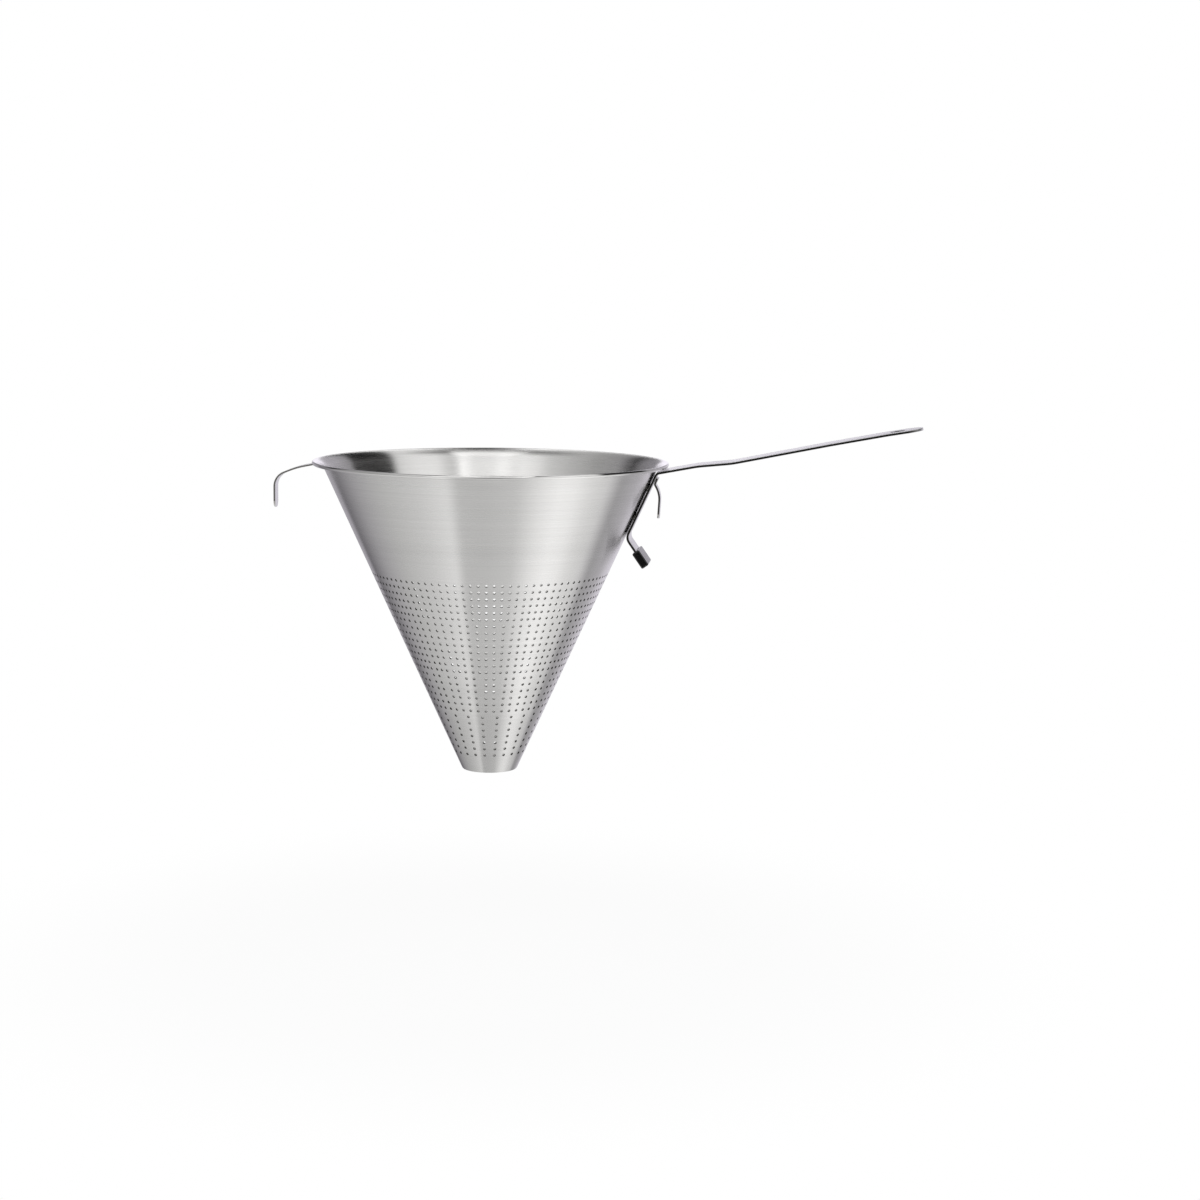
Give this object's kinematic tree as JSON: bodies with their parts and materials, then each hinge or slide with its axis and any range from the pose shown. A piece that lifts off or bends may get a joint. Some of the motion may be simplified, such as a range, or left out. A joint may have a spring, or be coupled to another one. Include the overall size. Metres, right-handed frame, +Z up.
{
  "type": "conical strainer",
  "caption": "Perforated steel cone strainer with a rolled rim, long flat handle, hooks that hang it inside a pot, and a black foot cap.",
  "frame": {"origin": "centre of the flat base, on its underside", "axes": "+Z up through the open top, +X out along the handle, +Y across"},
  "size_m": [0.4003, 0.22, 0.2179],
  "materials": {
    "brushed_steel_sheet": "stainless sheet brushed round the cone, semi-bright",
    "brushed_steel_strip": "stainless strip, polished faces and darker cut edges",
    "weld_steel": "bare spot weld",
    "black_foot": "black moulded cap with soft gloss"
  },
  "bodies": {
    "root": {"strainer_cone": "brushed_steel_sheet", "handle_strip": "brushed_steel_strip", "foot_cap": "black_foot", "front_hook": "brushed_steel_strip", "rear_hook": "brushed_steel_strip", "handle_welds": "weld_steel", "front_hook_welds": "weld_steel", "rear_hook_welds": "weld_steel"}
  },
  "joints": []
}
